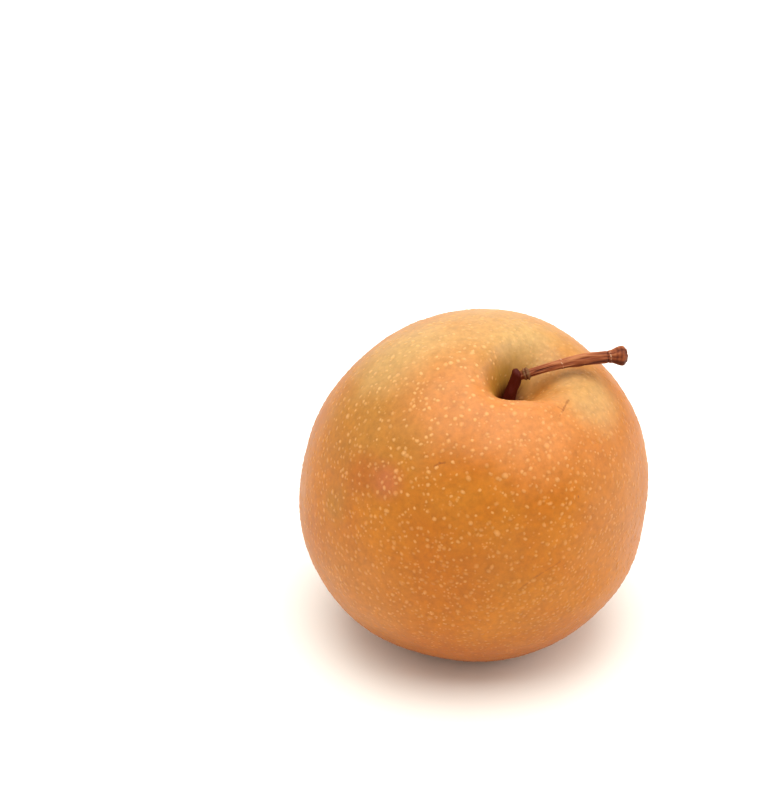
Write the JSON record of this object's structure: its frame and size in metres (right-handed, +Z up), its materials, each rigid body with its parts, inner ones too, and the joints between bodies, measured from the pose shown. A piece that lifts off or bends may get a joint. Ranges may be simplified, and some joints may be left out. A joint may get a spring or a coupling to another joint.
{
  "type": "nashi pear",
  "caption": "Round russet nashi pear with a leaning, dished stem end, a bent woody stem and a shallow calyx basin that it stands on; food prop to pick up, roll or place.",
  "frame": {"origin": "under the middle of the fruit, on the surface it stands on", "axes": "+Z up from the calyx end towards the stem end, +X towards the side that the stem's twig points to, -Y towards the viewer of the picture"},
  "size_m": [0.0861, 0.0863, 0.0833],
  "materials": {
    "russet_skin": "waxy russet fruit skin, satin, with pale raised dots",
    "stem_bark": "dry brown bark, matt"
  },
  "bodies": {
    "root": {"fruit": "russet_skin", "stem": "stem_bark"}
  },
  "joints": []
}
